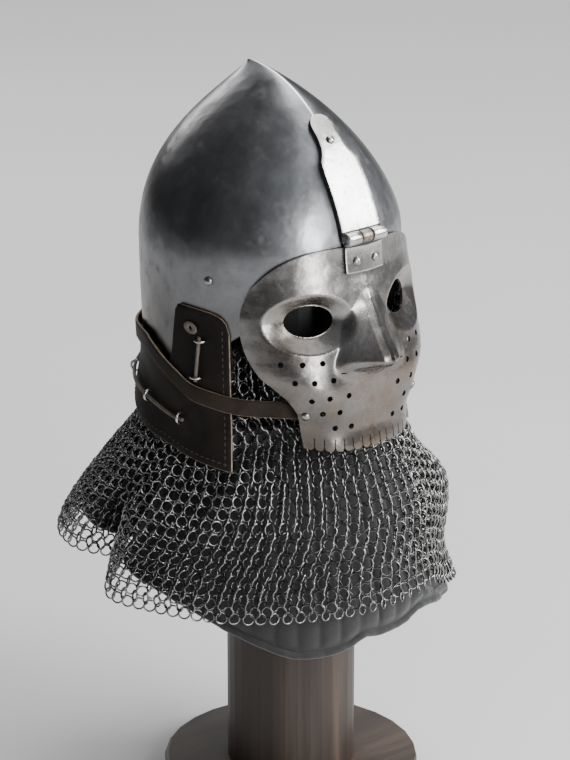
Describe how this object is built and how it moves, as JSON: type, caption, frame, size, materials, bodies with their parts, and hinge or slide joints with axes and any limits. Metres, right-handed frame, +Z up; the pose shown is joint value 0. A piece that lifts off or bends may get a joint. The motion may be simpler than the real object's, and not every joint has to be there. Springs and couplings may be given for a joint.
{
  "type": "bascinet with mail aventail on a wooden stand",
  "caption": "Pointed steel helmet with a hinged mask visor, laced leather, mail aventail and padded collar, on a plain round wooden stand.",
  "frame": {"origin": "middle of the underside of the stand's base", "axes": "+Z up; the helmet faces -Y; the wearer's right hand is on -X"},
  "size_m": [0.3307, 0.344, 0.6305],
  "materials": {
    "skull_steel": "polished by hand, darker with age low at the back",
    "visor_steel": "satin, with bright worn edges",
    "bright_steel": "bright",
    "leather": "dark, worn, with lighter cut edges",
    "lace": "greyish brown round lace",
    "mail_steel": "oiled steel rings",
    "padding": "black quilted cloth",
    "wood": "dark stained, upright grain on the post"
  },
  "bodies": {
    "root": {"stand_base": "wood", "stand_post": "wood", "skull": "skull_steel", "visor": "visor_steel", "hinge_upper_leaf": "bright_steel", "hinge_lower_leaf": "bright_steel", "hinge_pin": "bright_steel", "hinge_upper_rivet": "bright_steel", "hinge_lower_rivet_right": "bright_steel", "hinge_lower_rivet_left": "bright_steel", "strap_rivet_right": "bright_steel", "strap_rivet_left": "bright_steel", "bowl_rivet_right": "bright_steel", "bowl_rivet_left": "bright_steel", "leather_band": "leather", "visor_strap": "leather", "lace_upper_right": "lace", "lace_upper_left": "lace", "lace_lower": "lace", "lace_end_right": "lace", "lace_end_left": "lace", "mail_aventail": "mail_steel", "padded_collar": "padding", "staple_upper_right_1": "bright_steel", "staple_upper_right_2": "bright_steel", "staple_lower_right_1": "bright_steel", "staple_lower_right_2": "bright_steel", "staple_lower_right_3": "bright_steel", "staple_lower_right_4": "bright_steel", "staple_upper_left_1": "bright_steel", "staple_upper_left_2": "bright_steel", "staple_lower_left_1": "bright_steel", "staple_lower_left_2": "bright_steel", "staple_lower_left_3": "bright_steel", "staple_lower_left_4": "bright_steel"}
  },
  "joints": []
}
